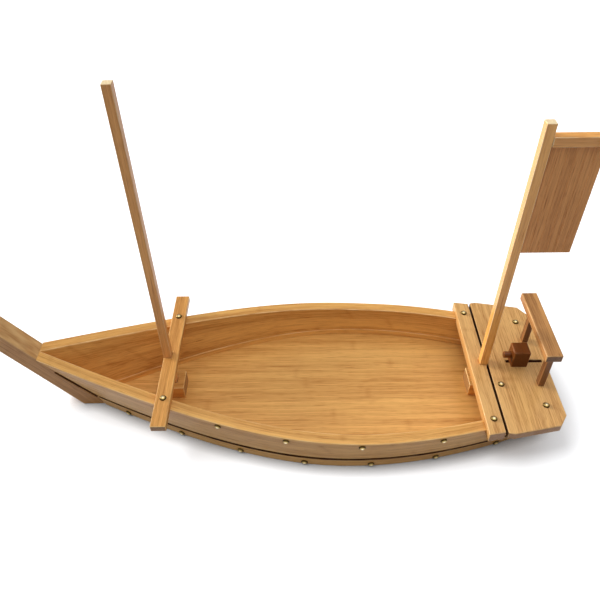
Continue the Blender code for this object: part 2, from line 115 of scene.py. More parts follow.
def add(tree, kind, inputs=None, **options):
    """Add a shader node, with its options set and its inputs linked or written."""
    node = tree.nodes.new("ShaderNode" + kind)
    for option, value in options.items():
        setattr(node, option, value)
    fill_in(tree, node, inputs or {})
    return node


def calc(tree, operation, first, second=0.0, third=0.0, clamp=False):
    """The result of one Math node."""
    inputs = {0: first, 1: second, 2: third}
    return add(tree, "Math", inputs, operation=operation, use_clamp=clamp).outputs[0]


def between(tree, value, low, high, at_low=0.0, at_high=1.0):
    """A value stretched from one range to another, and held there at both ends."""
    return add(tree, "MapRange", {0: value, 1: low, 2: high, 3: at_low, 4: at_high}).outputs[0]


# %% Mix colours and shaders
COLOUR_A, COLOUR_B, MIXED_COLOUR = 6, 7, 2  # the sockets of a Mix node that carry colours


def blend(tree, share, first, second):
    """A colour that lies a share of the way from one colour to another."""
    inputs = {"Factor": share, COLOUR_A: first, COLOUR_B: second}
    return add(tree, "Mix", inputs, data_type='RGBA').outputs[MIXED_COLOUR]


def either(tree, choice, first, second):
    """The first shader where the choice is 0, and the second where it is 1."""
    return add(tree, "MixShader", {0: choice, 1: first.outputs[0], 2: second.outputs[0]})


def paint(red, green, blue):
    """A colour for a socket, from the red, green and blue that a screen shows."""
    shown = [value / 255 for value in (red, green, blue)]
    return (*[((c + 0.055) / 1.055) ** 2.4 if c > 0.04 else c / 12.92 for c in shown], 1.0)


print("pale bamboo as light:", [round(c, 3) for c in paint(222, 172, 102)])

# %% [markdown]
# ## The studio
# The boat stands on a plain white table that runs out of the picture. A white floor throws a lot of
# light back up and would brighten the sides that the photograph shows in shade, so the floor is
# white only to the camera and in reflections, and a plain grey to the light that bounces. Close to
# the hull the table is hemmed in and turns dark. Lamps alone draw that band too faintly, so an
# Ambient Occlusion node, which measures how hemmed in a point is, darkens the white there. The
# world is white to the camera too, but softer as light, and stronger from the bow.

# %% Tell what is looked at from what is lit
def looked_at(tree, also):
    """1 for a ray from the camera or of one other kind, 0 for light that bounces."""
    path = add(tree, "LightPath").outputs
    return calc(tree, 'MAXIMUM', path["Is Camera Ray"], path[also])


# %% Lay the floor
floor_bm = bmesh.new()
bmesh.ops.create_grid(floor_bm, x_segments=1, y_segments=1, size=6)
floor_mesh = bpy.data.meshes.new("floor")
floor_bm.to_mesh(floor_mesh)
floor_bm.free()
floor = bpy.data.objects.new("floor", floor_mesh)
scene.collection.objects.link(floor)
print("floor:", floor.dimensions[:2], "m")

# %% Paint the floor
DARK_BAND = 0.023  # how far from the hull the table still turns dark, in metres
white_table = bpy.data.materials.new("white_table")
white_table.use_nodes = True
tree = white_table.node_tree
tree.nodes.clear()
lit = add(tree, "BsdfDiffuse", {"Color": (0.16, 0.155, 0.15, 1)})
hemmed_in = add(tree, "AmbientOcclusion",
                {"Color": (0.79, 0.80, 0.815, 1), "Distance": DARK_BAND}, samples=4)
shown = add(tree, "BsdfDiffuse", {"Color": hemmed_in.outputs["Color"]})
table_top = either(tree, looked_at(tree, "Is Glossy Ray"), lit, shown)
add(tree, "OutputMaterial", {"Surface": table_top.outputs[0]})
floor_mesh.materials.append(white_table)
print("table:", len(tree.nodes), "nodes")

# %% Surround the studio with soft light
world = bpy.data.worlds.new("studio")
scene.world = world
world.use_nodes = True
tree = world.node_tree
tree.nodes.clear()
way = add(tree, "SeparateXYZ", {0: add(tree, "TexCoord").outputs["Generated"]}).outputs
from_above = between(tree, way["Z"], 0.0, 1.0, 0.20, 0.55)
from_bow = between(tree, way["X"], -1.0, 1.0, 1.5, 0.5)
strength = calc(tree, 'MULTIPLY', from_above, from_bow)
fill = add(tree, "Background", {"Color": (0.97, 0.96, 0.96, 1), "Strength": strength})
strength = between(tree, way["Z"], 0.84, 0.94, 0.25, 3.0)
box_above = add(tree, "Background", {"Color": (1, 1, 1, 1), "Strength": strength})
backdrop = add(tree, "Background", {"Color": (1, 1, 1, 1), "Strength": 1.0})
mirrored = add(tree, "LightPath").outputs["Is Glossy Ray"]
around = either(tree, mirrored, fill, box_above)
around = either(tree, looked_at(tree, "Is Transmission Ray"), around, backdrop)
add(tree, "OutputWorld", {"Surface": around.outputs[0]})
print("world:", len(tree.nodes), "nodes")

# %% [markdown]
# ## The lamps
# In the photograph every side that faces the bow is bright, the top faces are a little less so, and
# the shadow on the table hugs the boat. One lamp cannot do all of that, so there are four: a low
# key light from the bow, a wide soft box over the boat, and two for the table alone, one that
# slants from the bow and one as wide as the sky. Light linking tells a lamp what it may light.

# %% Hang the lamps
def hang_lamp(name, energy, spread, towards, table_only):
    """A distant lamp that shines the given way on the table alone, or on all but the table."""
    data = bpy.data.lights.new(name, 'SUN')
    data.energy = energy
    data.angle = math.radians(spread)
    lamp = bpy.data.objects.new(name, data)
    lamp.rotation_mode = 'QUATERNION'
    lamp.rotation_quaternion = Vector(towards).to_track_quat('-Z', 'Y')
    scene.collection.objects.link(lamp)
    lit_by = bpy.data.collections.new("lit_by_" + name)
    lit_by.objects.link(floor)
    link_state = 'INCLUDE' if table_only else 'EXCLUDE'
    lit_by.collection_objects[0].light_linking.link_state = link_state
    lamp.light_linking.receiver_collection = lit_by
    return data


key = hang_lamp("key", 4.2, 25, (0.88, -0.40, -0.20), False)
key.color = (1.0, 0.97, 0.92)
hang_lamp("softbox", 1.2, 80, (-0.24, 0.0, -0.97), False)
hang_lamp("table_light", 2.8, 35, (0.60, -0.05, -1.0), True)
hang_lamp("table_fill", 2.2, 175, (0.0, 0.0, -1.0), True)
print("lamps:", [light.name for light in bpy.data.lights])

# %% [markdown]
# ## Bamboo
# Boards of bamboo are glued up from strips of split cane. Each strip has its own shade, fine fibres
# that run its whole length, short dark pores, and now and then a knuckle where the cane had a
# joint. All of it follows the length of the board, so the pattern reads a `grain` vector whose x
# runs along the board, whatever way the board lies in the boat. Stretching a noise texture along x
# draws streaks; doing it at several sizes gives a rich figure. Because every wooden piece uses the
# same figure, it is a node group, with its own colours and scale each time.

# %% Start a node group
def new_group(name, inputs, outputs):
    """An empty shader group, and the sockets that bring values into it and take them out."""
    tree = bpy.data.node_groups.new(name, 'ShaderNodeTree')
    for way, sockets in (('INPUT', inputs), ('OUTPUT', outputs)):
        for label, kind in sockets.items():
            tree.interface.new_socket(label, in_out=way, socket_type='NodeSocket' + kind)
    return tree, tree.nodes.new('NodeGroupInput').outputs, tree.nodes.new('NodeGroupOutput').inputs


def streaks(tree, grain, along, across, detail):
    """Noise drawn out along the grain: its waves in a metre along the board and across it."""
    drawn_out = add(tree, "Mapping", {"Vector": grain, "Scale": (along, across, across)}).outputs[0]
    return add(tree, "TexNoise", {"Vector": drawn_out, "Scale": 1.0, "Detail": detail}).outputs[0]


# %% The figure of bamboo
bamboo, given, made = new_group(
    "bamboo",
    {"Grain": "Vector", "Pale": "Color", "Deep": "Color",
     "Strip": "Float", "Figure": "Float", "Wave": "Float"},
    {"Colour": "Color", "Roughness": "Float", "Height": "Float"})

bend = add(bamboo, "Mapping", {"Vector": given["Grain"], "Scale": (7, 26, 26)})
bend = add(bamboo, "TexNoise", {"Vector": bend.outputs[0], "Scale": 1.0, "Detail": 1.0})
bend = add(bamboo, "VectorMath", {0: bend.outputs["Color"], 1: (0.5, 0.5, 0.5)},
           operation='SUBTRACT')
bend = add(bamboo, "VectorMath", {0: bend.outputs[0], "Scale": given["Wave"]}, operation='SCALE')
wavy = add(bamboo, "VectorMath", {0: given["Grain"], 1: bend.outputs[0]}, operation='ADD')
wavy = wavy.outputs[0]

broad = streaks(bamboo, wavy, 2.6, 95, 2)
fibres = streaks(bamboo, wavy, 14, 620, 2)
pores = between(bamboo, streaks(bamboo, wavy, 55, 1900, 0), 0.60, 0.74)
flecks = between(bamboo, streaks(bamboo, wavy, 20, 420, 1), 0.64, 0.76)
drift = streaks(bamboo, given["Grain"], 1.3, 4, 1)
print("streaks:", len(bamboo.nodes), "nodes")

# %% Strips, glue lines and knuckles
GLUE_WIDTH = 0.022  # as a share of a strip's width
JOINTS_IN_A_METRE = 1.9
place = add(bamboo, "SeparateXYZ", {0: given["Grain"]}).outputs
across = calc(bamboo, 'DIVIDE', place["Y"], given["Strip"])
through = calc(bamboo, 'DIVIDE', place["Z"], given["Strip"])
strip = add(bamboo, "CombineXYZ",
            {0: calc(bamboo, 'FLOOR', across), 1: calc(bamboo, 'FLOOR', through)})
shade = add(bamboo, "TexWhiteNoise", {"Vector": strip.outputs[0]}).outputs["Value"]
edge = calc(bamboo, 'MINIMUM', calc(bamboo, 'PINGPONG', across, 0.5),
            calc(bamboo, 'PINGPONG', through, 0.5))
glue = between(bamboo, edge, 0.0, GLUE_WIDTH, 1.0, 0.0)
start = calc(bamboo, 'MULTIPLY', shade, 7.3)
joint = calc(bamboo, 'MULTIPLY_ADD', place["X"], JOINTS_IN_A_METRE, start)
joint = calc(bamboo, 'SUBTRACT', calc(bamboo, 'FRACT', joint), 0.5)
joint = between(bamboo, calc(bamboo, 'ABSOLUTE', joint), 0.0, 0.016, 1.0, 0.0)
knuckle = calc(bamboo, 'MULTIPLY', joint, fibres)
print("with strips and knuckles:", len(bamboo.nodes), "nodes")

# %% Mix the figure into a colour, a polish and a relief
depth = 0.0
for streak, weight in ((broad, 1.2), (fibres, 1.0), (shade, 0.20), (drift, 0.4)):
    depth = calc(bamboo, 'MULTIPLY_ADD', calc(bamboo, 'SUBTRACT', streak, 0.5), weight, depth)
for mark, weight in ((pores, -0.30), (flecks, -0.40), (knuckle, -0.30), (glue, -0.12)):
    depth = calc(bamboo, 'MULTIPLY_ADD', mark, weight, depth)
paleness = calc(bamboo, 'MULTIPLY_ADD', depth, given["Figure"], 0.66, clamp=True)
bamboo.links.new(blend(bamboo, paleness, given["Deep"], given["Pale"]), made["Colour"])
bamboo.links.new(between(bamboo, paleness, 0.0, 1.0, 0.56, 0.40), made["Roughness"])
relief = calc(bamboo, 'MULTIPLY_ADD', pores, -0.6, fibres)
bamboo.links.new(calc(bamboo, 'MULTIPLY_ADD', glue, -0.2, relief), made["Height"])
print("bamboo group:", len(bamboo.nodes), "nodes")

# %% [markdown]
# ## Wear, painted highlights, end grain and painted shade
# Sanding and handling rub the polish off the rounded edges first, so they show duller in patches.
# They are painted paler there too, which is partly that rubbing and partly a painted highlight
# where the edges catch the light. Where a board is cut across, the open ends of the fibres drink
# the varnish and change colour; on the mast and the flagpole those ends are their tops, and their
# pale colour there is a painted highlight. The narrow grooves between planks are painted almost
# black, as painted shade and grime, and have no polish at all. The pieces carry these marks in
# three
# attributes: `arris`, which is joiners' word for an edge, `end` and `crevice`. The group mixes a
# colour in where each mark is 1, broken up by noise so that no edge is marked evenly from end to
# end.

# %% Painted highlight and rubbing along the edges, end grain, painted shade in the grooves
wear_and_painted_light, given, made = new_group(
    "wear_and_painted_light",
    {"Grain": "Vector", "Arris": "Float", "End": "Float", "Crevice": "Float",
     "Colour": "Color", "Worn_And_Highlit": "Color", "Cut": "Color", "Shade_And_Grime": "Color",
     "Roughness": "Float", "Gloss": "Float"},
    {"Colour": "Color", "Roughness": "Float", "Gloss": "Float"})
fibre_ends = between(wear_and_painted_light, streaks(wear_and_painted_light, given["Grain"], 700, 700, 2), 0.35, 0.65, 0.70, 1.0)
cut_off = calc(wear_and_painted_light, 'MULTIPLY', fibre_ends, given["End"])
colour = blend(wear_and_painted_light, cut_off, given["Colour"], given["Cut"])
# The edges are painted paler in patches: partly rubbing, partly a painted highlight.
patches = between(wear_and_painted_light, streaks(wear_and_painted_light, given["Grain"], 24, 90, 2), 0.36, 0.62, 0.15, 0.85)
rubbed_and_highlit = calc(wear_and_painted_light, 'MULTIPLY', patches, given["Arris"])
colour = blend(wear_and_painted_light, rubbed_and_highlit, colour, given["Worn_And_Highlit"])
# The grooves are painted near black where the crevice mark is 1: painted shade and grime.
shade_and_grime = between(wear_and_painted_light, streaks(wear_and_painted_light, given["Grain"], 30, 60, 1), 0.30, 0.70, 0.80, 1.0)
shade_and_grime = calc(wear_and_painted_light, 'MULTIPLY', shade_and_grime, between(wear_and_painted_light, given["Crevice"], 0.35, 0.65))
colour = blend(wear_and_painted_light, shade_and_grime, colour, given["Shade_And_Grime"])
wear_and_painted_light.links.new(colour, made["Colour"])
print("worn colours:", len(wear_and_painted_light.nodes), "nodes")

# %% Dull the edges and the grooves painted with shade and grime
dull = calc(wear_and_painted_light, 'MAXIMUM', calc(wear_and_painted_light, 'MULTIPLY', rubbed_and_highlit, 0.12),
            calc(wear_and_painted_light, 'MULTIPLY', shade_and_grime, 0.40))
wear_and_painted_light.links.new(calc(wear_and_painted_light, 'ADD', dull, given["Roughness"], clamp=True), made["Roughness"])
# The coat is taken off where the grooves are painted with shade and grime.
clean = calc(wear_and_painted_light, 'SUBTRACT', 1.0, shade_and_grime)
wear_and_painted_light.links.new(calc(wear_and_painted_light, 'MULTIPLY', clean, given["Gloss"]), made["Gloss"])
print("wear group:", len(wear_and_painted_light.nodes), "nodes")

# %% [markdown]
# ## The wooden finishes
# Every board is bamboo, but no two kinds are quite alike: the deck has a wavy figure, the flag is
# pieced from darker strips, the spars are pale, the stem and the gate are browner, the legs are
# darker still as painted shade, and the lock is stained. Each is one material with the two groups
# in it. The thin varnish is the shader's own coat. A wood with grooves takes its weight from the
# group of edges, ends and grooves, because there is no varnish in a groove. On the others it is the
# same all over, so it is set on the socket, as the roughness of the coat is on all of them.

# %% Make a wooden finish
# The near-black colour of the grooves: painted shade and grime.
SHADE_AND_GRIME = paint(66, 28, 7)


def wooden(name, pale, deep, worn_and_highlit, cut, strip, figure, wave, gloss, grooved=False):
    """A bamboo material in colours as a screen shows them, with strips of a width in metres."""
    material = bpy.data.materials.new(name)
    material.use_nodes = True
    tree = material.node_tree
    grain = add(tree, "Attribute", attribute_name="grain").outputs["Vector"]
    marks = {mark.title(): add(tree, "Attribute", attribute_name=mark).outputs["Fac"]
             for mark in ("arris", "end", "crevice")}
    figured = add(tree, "Group", node_tree=bamboo)
    fill_in(tree, figured, {"Grain": grain, "Pale": paint(*pale), "Deep": paint(*deep),
                            "Strip": strip, "Figure": figure, "Wave": wave})
    figured = figured.outputs
    wear_and_light_out = add(tree, "Group", node_tree=wear_and_painted_light)
    fill_in(tree, wear_and_light_out, {"Grain": grain, **marks, "Colour": figured["Colour"],
                             "Worn_And_Highlit": paint(*worn_and_highlit), "Cut": paint(*cut), "Shade_And_Grime": SHADE_AND_GRIME,
                             "Roughness": figured["Roughness"], "Gloss": gloss})
    wear_and_light_out = wear_and_light_out.outputs
    bump = add(tree, "Bump", {"Height": figured["Height"], "Strength": 0.3, "Distance": 0.0003})
    fill_in(tree, tree.nodes["Principled BSDF"],
            {"Base Color": wear_and_light_out["Colour"], "Roughness": wear_and_light_out["Roughness"],
             "Normal": bump.outputs["Normal"], "Specular IOR Level": 0.2,
             "Coat Weight": wear_and_light_out["Gloss"] if grooved else gloss, "Coat Roughness": 0.20})
    return material


# %% The woods of the boat
# The pale edge colour of each wood is partly the rubbing of the edges and partly a painted
# highlight.
WOODS = {
    "hull_bamboo": dict(pale=(234, 180, 101), deep=(184, 124, 58), worn_and_highlit=(244, 204, 140),
                        cut=(150, 108, 66), strip=0.024, figure=1.3, wave=0.0016, gloss=0.22,
                        grooved=True),
    "stem_bamboo": dict(pale=(204, 150, 90), deep=(152, 100, 52), worn_and_highlit=(226, 186, 128),
                        cut=(150, 106, 64), strip=0.038, figure=1.3, wave=0.0016, gloss=0.25,
                        grooved=True),
    "cross_bamboo": dict(pale=(228, 168, 92), deep=(176, 116, 52), worn_and_highlit=(238, 196, 124),
                         cut=(120, 86, 52), strip=0.030, figure=1.5, wave=0.0020, gloss=0.25),
    "deck_bamboo": dict(pale=(222, 174, 108), deep=(172, 120, 64), worn_and_highlit=(222, 180, 120),
                        cut=(150, 104, 64), strip=0.052, figure=1.6, wave=0.0080, gloss=0.25,
                        grooved=True),
    "gate_bamboo": dict(pale=(198, 145, 86), deep=(142, 94, 50), worn_and_highlit=(212, 166, 110),
                        cut=(94, 60, 32), strip=0.040, figure=1.4, wave=0.0020, gloss=0.2),
    # The legs: the gate's wood painted darker, as painted shade.
    "leg_bamboo_shaded": dict(pale=(142, 94, 52), deep=(98, 62, 32), worn_and_highlit=(164, 116, 72),
                       cut=(110, 76, 46), strip=0.040, figure=1.4, wave=0.0020, gloss=0.15),
    # On the mast and the flagpole the pale end colour is a painted highlight on their tops.
    "mast_bamboo": dict(pale=(240, 178, 108), deep=(188, 126, 70), worn_and_highlit=(242, 214, 166),
                        cut=(250, 232, 190), strip=0.060, figure=1.1, wave=0.0012, gloss=0.2),
    "spar_bamboo": dict(pale=(252, 188, 104), deep=(204, 134, 60), worn_and_highlit=(250, 226, 176),
                        cut=(250, 232, 190), strip=0.060, figure=1.1, wave=0.0012, gloss=0.6),
    "flag_bamboo": dict(pale=(232, 166, 102), deep=(170, 106, 56), worn_and_highlit=(234, 184, 124),
                        cut=(150, 100, 56), strip=0.0127, figure=1.3, wave=0.0014, gloss=0.12),
    "stained_bamboo": dict(pale=(116, 60, 10), deep=(80, 38, 4), worn_and_highlit=(156, 96, 42),
                           cut=(104, 56, 16), strip=0.030, figure=1.0, wave=0.0014, gloss=0.08),
}
finishes = {name: wooden(name, **look) for name, look in WOODS.items()}
print("wooden finishes:", ", ".join(finishes))

# %% [markdown]
# ## Brass
# The nail heads are polished brass. Handling keeps the crown bright, while the rim, which nobody
# can wipe clean, goes dark and dull. A `rim` attribute on the nails says how far a point lies from
# the crown, and a noise adds the small spots that brass gets with age.

# %% Make the brass
brass = bpy.data.materials.new("brass")
brass.use_nodes = True
tree = brass.node_tree
rim = add(tree, "Attribute", attribute_name="rim").outputs["Fac"]
where = add(tree, "TexCoord").outputs["Object"]
spots = add(tree, "TexNoise", {"Vector": where, "Scale": 900.0, "Detail": 3.0}).outputs[0]
spots = calc(tree, 'SUBTRACT', spots, 0.5)
dulled = calc(tree, 'MULTIPLY_ADD', spots, 0.30, rim, clamp=True)
patina = add(tree, "ValToRGB", {0: dulled})
patina.color_ramp.elements[0].color = paint(250, 236, 198)
patina.color_ramp.elements[1].color = paint(58, 42, 20)
patina.color_ramp.elements.new(0.62).color = paint(168, 142, 82)
scratches = add(tree, "TexNoise", {"Vector": where, "Scale": 2400.0, "Detail": 2.0}).outputs[0]
bump = add(tree, "Bump", {"Height": scratches, "Strength": 0.15, "Distance": 0.0002})
fill_in(tree, tree.nodes["Principled BSDF"],
        {"Base Color": patina.outputs[0], "Roughness": between(tree, dulled, 0.0, 1.0, 0.32, 0.50),
         "Normal": bump.outputs["Normal"], "Metallic": 1.0})
finishes["brass"] = brass
print("finishes:", len(finishes))

# %% [markdown]
# ## Eased edges
# A sawn board has knife-sharp edges in CAD, and no real board does: sandpaper takes them off, and
# the thin rounding catches a line of light. The straight boards could be drawn again from cubes,
# but the CAD already has their notches and sockets, so a copy of each solid is merged, its flat
# faces are made whole, and its sharp edges are bevelled. The narrow holes for the nails are closed
# first: the nails fill them anyway, and a flat face without holes bevels cleanly. The border of
# each rounding is marked sharp, so that the flat faces beside it stay flat in the shading.

# %% Copy a solid
FLAT = math.radians(0.3)           # faces that meet at less than this are one flat side
HOLE_AREA, HOLE_EDGE = 5e-5, 0.0008  # the walls of a nail hole are smaller than this


def merged_copy(node):
    """A bmesh of a CAD solid, with its loose triangles joined."""
    bm = bmesh.new()
    bm.from_mesh(frame["nodes"][node].data)
    bmesh.ops.remove_doubles(bm, verts=bm.verts, dist=1e-6)
    return bm


def made_whole(bm):
    """The same board with its nail holes closed and each of its flat sides in one face."""
    bmesh.ops.dissolve_limit(bm, angle_limit=FLAT, verts=bm.verts, edges=bm.edges)
    holes = [face for face in bm.faces if face.calc_area() < HOLE_AREA
             and min(edge.calc_length() for edge in face.edges) < HOLE_EDGE]
    bmesh.ops.delete(bm, geom=holes, context='FACES')
    bmesh.ops.holes_fill(bm, edges=[edge for edge in bm.edges if edge.is_boundary])
    bmesh.ops.dissolve_limit(bm, angle_limit=FLAT, verts=bm.verts, edges=bm.edges)
    return bm


# %% Ease its edges
SHARP, CREASE = math.radians(30), math.radians(35)
SHORT = 0.0025  # edges shorter than this stay as they are


def mark_faces(bm, name, test=lambda face: False):
    """Store a 1 on every face that passes the test, and a 0 on the others."""
    layer = bm.faces.layers.float.new(name)
    for face in bm.faces:
        face[layer] = float(test(face))
    return layer


def round_off(bm, edges, radius, arris):
    """Bevel some edges into a rounding, and mark its faces."""
    rounded = bmesh.ops.bevel(bm, geom=edges, offset=radius, offset_type='OFFSET', segments=3,
                              profile=0.5, affect='EDGES', clamp_overlap=True, material=-1)
    for face in rounded["faces"]:
        face[arris] = 1.0


def shade_round(bm, arris):
    """Shade a piece smooth, but not over a crease or the border of a rounding."""
    for face in bm.faces:
        face.smooth = True
    for edge in bm.edges:
        here, there = [face[arris] for face in edge.link_faces]
        edge.smooth = here == there and edge.calc_face_angle(0) < CREASE


def ease_edges(bm, radius, above=-1.0):
    """Round the sharp edges of a board that lie above a height."""
    arris = mark_faces(bm, "arris")
    sharp = [edge for edge in bm.edges
             if edge.calc_face_angle(0) > SHARP and edge.calc_length() > SHORT
             and max(vert.co.z for vert in edge.verts) > above]
    round_off(bm, sharp, radius, arris)
    shade_round(bm, arris)


# %% [markdown]
# ## Grain that follows the board
# The finishes read a `grain` vector, so each piece stores one on its vertices: its own shape turned
# until the fibres lie along x. Every board is also shifted to a stretch of cane of its own, or
# neighbours would show the same streaks.

# %% Lay the grain
pieces = []


def own_stretch():
    """Where the next board was sawn from the cane."""
    return Vector((1.7, 0.053, 0.031)) * len(pieces)


def lay_grain(bm, along):
    """Store each vertex's place in the board, x along the grain, and mark the faces cut across."""
    grain = bm.verts.layers.float_vector.new("grain")
    turned = Vector((1, 0, 0)).rotation_difference(Vector(along)).inverted()
    for vert in bm.verts:
        vert[grain] = turned @ vert.co + own_stretch()
    bm.normal_update()
    mark_faces(bm, "end", lambda face: abs(face.normal.dot(along)) > 0.8)
    bm.verts.layers.float.new("crevice")


# %% Show a piece
def show(name, bm, slot, node, finish=None):
    """Make a bmesh the piece that is shown for a CAD solid, in its slot's finish or another."""
    mesh = bpy.data.meshes.new(name)
    bm.to_mesh(mesh)
    bm.free()
    mesh.materials.append(finishes[finish or slot])
    piece = bpy.data.objects.new(name, mesh)
    scene.collection.objects.link(piece)
    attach(piece, frame["nodes"][node]["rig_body"])
    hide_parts(node)
    pieces.append(piece)
    return piece


def eased_board(node, slot, along, radius, finish=None, above=-1.0, in_the_dark=None):
    """Show a straight board, its edges rounded, its grain laid and its hidden walls painted dark
    with shade and grime.
    """
    bm = made_whole(merged_copy(node))
    ease_edges(bm, radius, above)
    lay_grain(bm, along)
    crevice = bm.verts.layers.float["crevice"]
    for vert in bm.verts:
        vert[crevice] = float(in_the_dark is not None and in_the_dark(vert.co))
    piece = show(node + "_eased", bm, slot, node, finish)
    print(f"{piece.name}: {len(piece.data.polygons)} faces, edges eased by {radius * 1000:.1f} mm")


# %% [markdown]
# ## The lines of the hull
# A boatbuilder draws a hull as a few curves before any plank is cut. The same curves are written
# here as functions: where the planks end on the raked stem, how high the gunwale runs, and how
# broad the hull is at each height. They repeat the curves of the CAD model, so every piece that is
# bent to them fits its solid.

# %% The lines of the hull
BOW_REACH, STERN_REACH, BOW_HEIGHT, HULL_DEPTH = 0.457, 0.420, 0.124, 0.075
STEM_RAKE, STEM_HALF, KNEE, SEAM = math.radians(53), 0.0215, 0.011, 0.027
SHEER_START, SHEER_POWER = 0.129, 1.37
BEAM_X, SIDE_BEND = 0.0865, 0.221
BEAM, BEAM_FLARE = 0.3155, 0.0185    # breadth at the bottom, and what it gains at the gunwale
STERN, STERN_FLARE = 0.175, 0.038
GAP = 0.0003


def stem_line(z):
    """Station where the planks end on the stem at the height z: it swells to a knee at the seam."""
    swell = min(z / SEAM, (BOW_HEIGHT - z) / (BOW_HEIGHT - SEAM))
    return (BOW_HEIGHT - z) / math.tan(STEM_RAKE) - BOW_REACH + KNEE * swell


def sheer(x):
    """Height of the gunwale at station x: level aft, and rising to the bow."""
    rise = max(0.0, (SHEER_START - x) / (SHEER_START + BOW_REACH)) ** SHEER_POWER
    return HULL_DEPTH + (BOW_HEIGHT - HULL_DEPTH) * rise


def half_beam(x, z):
    """Half breadth of the hull's outer face."""
    level = z / HULL_DEPTH
    widest = (BEAM + BEAM_FLARE * level) / 2
    end_x, end_half = stem_line(z), STEM_HALF
    if x > BEAM_X:
        end_x, end_half = STERN_REACH, (STERN + STERN_FLARE * level) / 2
    spread = ((widest - end_half + SIDE_BEND) ** 2 - SIDE_BEND ** 2) / (end_x - BEAM_X) ** 2
    return widest + SIDE_BEND - math.sqrt(SIDE_BEND ** 2 + spread * (x - BEAM_X) ** 2)


def inside(x, z, depth):
    """Half breadth of the surface that lies depth inside the outer face."""
    slope = (half_beam(x + GAP, z) - half_beam(x - GAP, z)) / (2 * GAP)
    return max(half_beam(x, z) - depth * math.hypot(1, slope), GAP / 2)


print("beam in mm:", round(2000 * half_beam(BEAM_X, HULL_DEPTH), 1))
print("sheer at the bow in mm:", round(1000 * sheer(-BOW_REACH), 1))

# %% [markdown]
# ## Timbers inside the hull
# The stem is a raked beam that the planks are nailed to at the bow. The bottom board closes the
# hull, the transom closes the stern, a bearer carries the deck, and two blocks hold the feet of the
# mast and the flagpole. Their grain runs the long way of each piece, which is how wood is
# strongest. The top of the stem is painted pale in the colour of the edges, a painted highlight
# where the light falls on it. A dark line runs down each side of it where the planks end, so a
# groove is
# cut there: two cuts beside the joint, two across it, and the strip between them is pushed inwards
# and painted near black, as painted shade and grime.

# %% Ease the stem and paint a highlight on its top
stem = made_whole(merged_copy("stem"))
ease_edges(stem, 0.0015)
lay_grain(stem, (-math.cos(STEM_RAKE), 0, math.sin(STEM_RAKE)))
arris = stem.faces.layers.float["arris"]
# Painted highlight: the top faces of the stem are marked as edges, so they take the pale edge
# colour.
for face in stem.faces:
    if face.normal.x > 0.7 and face.normal.z > 0.4:
        face[arris] = 1.0
print("stem:", len(stem.faces), "faces before the grooves are cut")

# %% Groove the stem along the joint
CUT_AFT, CUT_FORE, CUT_BELOW = 0.0025, 0.0085, 0.004  # from the foot of the joint
CUT_SHARE, CUT_DEPTH = 0.68, 0.002
foot = Vector((stem_line(SEAM), 0, SEAM))
head = Vector((stem_line(BOW_HEIGHT), 0, BOW_HEIGHT))
down = (foot - head).normalized()
forward = Vector((0, 1, 0)).cross(down)
cuts = [(foot + forward * CUT_AFT, forward), (foot + forward * CUT_FORE, -forward),
        (foot + down * CUT_BELOW, -down), (foot.lerp(head, CUT_SHARE), down)]
for spot, facing in cuts:
    bmesh.ops.bisect_plane(stem, geom=stem.verts[:] + stem.edges[:] + stem.faces[:], dist=1e-6,
                           plane_co=spot, plane_no=facing)
stem.normal_update()
strips = [face for face in stem.faces if abs(face.normal.y) > 0.9
          and all((face.calc_center_median() - spot).dot(facing) > 0 for spot, facing in cuts)]
walls = bmesh.ops.inset_region(stem, faces=strips, thickness=0.0003, depth=-CUT_DEPTH,
                               use_even_offset=True, use_boundary=True)["faces"]
crevice = stem.verts.layers.float["crevice"]
for face in strips + walls:
    face.smooth = False
# The floor of the groove is painted near black: painted shade and grime.
for vert in {vert for face in strips for vert in face.verts}:
    vert[crevice] = 1.0
show("stem_grooved", stem, "hull_bamboo", "stem", "stem_bamboo")
groove_length = (foot - head).length * CUT_SHARE + CUT_BELOW
print("stem:", len(strips), "grooves,", round(groove_length * 1000), "mm long")

# %% Ease the other timbers of the hull
eased_board("transom", "hull_bamboo", (0, 1, 0), 0.001)
eased_board("deck_bearer", "hull_bamboo", (0, 1, 0), 0.001)
eased_board("mast_step", "hull_bamboo", (1, 0, 0), 0.0015)
eased_board("flagpole_step", "hull_bamboo", (1, 0, 0), 0.0015)

# %% Lay the bottom board
bottom = made_whole(merged_copy("bottom_board"))
bmesh.ops.triangulate(bottom, faces=[face for face in bottom.faces if len(face.verts) > 4])
mark_faces(bottom, "arris")
lay_grain(bottom, (1, 0, 0))
show("bottom_board_laid", bottom, "hull_bamboo", "bottom_board")
print("bottom board: left square, because the planks hide its edges")

# %% [markdown]
# ## The bent planks
# Two strakes a side make the hull. A strake is a flat plank that is steamed and bent round the
# boat, and it is made the same way here: its section is drawn with a few vertices, extruded to a
# straight plank, cut into short lengths, and its long edges are bevelled while it is straight. Then
# every vertex moves to its place on the hull's lines. The grain is stored by length along the
# plank, so the fibres bend with it, which a solid texture could not do.

# %% Seats for the boards that lie across the hull
def seat_edges(node):
    """Stations where the seat of a board starts and ends in the gunwale, and the seat's height."""
    low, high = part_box(node)
    return low.x - GAP, high.x + GAP, low.z - GAP


seats = [seat_edges("thwart"), seat_edges("stern_plank"), seat_edges("stern_deck")]


def gunwale(x):
    """Height of the upper strake's top edge, lowered at the seats."""
    return min([sheer(x)] + [height for front, aft, height in seats if front < x < aft])


print("seats from x in mm:", [round(front * 1000, 1) for front, aft, height in seats])

# %% Draw a straight plank
def lengthwise(bm):
    """The edges of a straight plank that run along x."""
    return [edge for edge in bm.edges if edge.verts[0].co.x != edge.verts[1].co.x]


